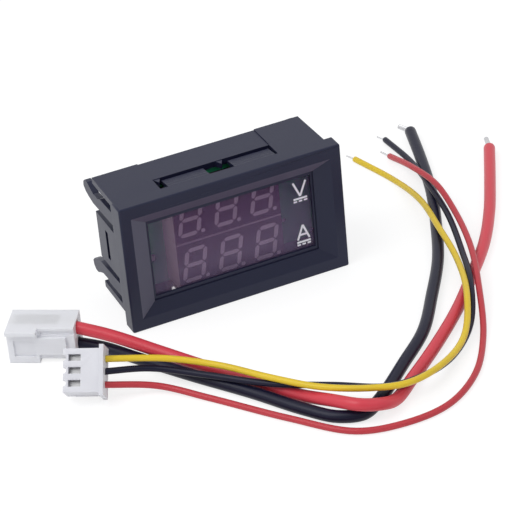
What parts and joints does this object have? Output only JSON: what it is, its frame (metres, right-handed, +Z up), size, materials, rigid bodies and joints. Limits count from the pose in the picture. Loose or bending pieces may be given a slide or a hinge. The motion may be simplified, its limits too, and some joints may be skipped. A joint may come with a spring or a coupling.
{
  "type": "digital_panel_meter",
  "caption": "Snap-in panel meter in a black case: smoked window over two rows of red digits with unit marks, spring arms at the sides, two loose wire sets with nylon plugs",
  "frame": {"origin": "centre of the meter's plan at the height of the bezel's lower edge, measured without the loose wires and their plugs", "axes": "+Z is up the front face, the front faces -Y and +X is the meter's right as a person reads it"},
  "size_m": [0.1219, 0.1012, 0.0285],
  "materials": {
    "case_black": "fine satin moulding",
    "window_smoke": "smoked clear plastic, gloss",
    "print_white": "ink print",
    "display_red": "dark red filter face",
    "segment_pale": "unlit diffuser",
    "tin": "tinned metal",
    "board_green": "solder mask",
    "chip_black": "moulded epoxy",
    "ceramic_tan": "ceramic",
    "shunt_alloy": "resistance alloy",
    "trimmer_cream": "moulded ceramic",
    "trimmer_metal": "stamped rotor",
    "nylon_white": "natural nylon",
    "nylon_clear": "translucent nylon",
    "vinyl_red": "soft vinyl, semi-gloss",
    "vinyl_black": "soft vinyl, semi-gloss",
    "vinyl_yellow": "soft vinyl, semi-gloss"
  },
  "bodies": {
    "meter": {"case": "case_black", "window": "window_smoke", "volt_mark": "print_white", "amp_mark": "print_white", "upper_display": "display_red", "lower_display": "display_red", "upper_segments": "segment_pale", "lower_segments": "segment_pale", "upper_display_pins": "tin", "lower_display_pins": "tin", "board": "board_green", "controller_chip": "chip_black", "controller_leads": "tin", "regulator": "chip_black", "regulator_leads": "tin", "diode": "chip_black", "diode_ends": "tin", "resistors": "chip_black", "capacitors": "ceramic_tan", "shunt": "shunt_alloy", "volt_trimmer_base": "trimmer_cream", "amp_trimmer_base": "trimmer_cream", "small_header": "nylon_white", "small_header_pins": "tin", "large_header": "nylon_white", "large_header_pins": "tin", "large_plug": "nylon_clear", "large_plug_contacts": "tin", "small_plug": "nylon_white", "small_plug_contacts": "tin", "red_load_wire": "vinyl_red", "black_load_wire": "vinyl_black", "yellow_wire": "vinyl_yellow", "black_sense_wire": "vinyl_black", "red_sense_wire": "vinyl_red", "load_wire_tips": "tin", "thin_wire_tips": "tin"},
    "volt_rotor": {"volt_trimmer_rotor": "trimmer_metal"},
    "amp_rotor": {"amp_trimmer_rotor": "trimmer_metal"}
  },
  "joints": [
    {"name": "volt_trim", "type": "hinge", "parent": "meter", "child": "volt_rotor", "pos_m": [0.0086, 0.0022, 0.0206], "axis": [0, 1, 0], "range_deg": [-120, 120]},
    {"name": "amp_trim", "type": "hinge", "parent": "meter", "child": "amp_rotor", "pos_m": [0.0148, 0.0022, 0.0206], "axis": [0, 1, 0], "range_deg": [-120, 120]}
  ]
}
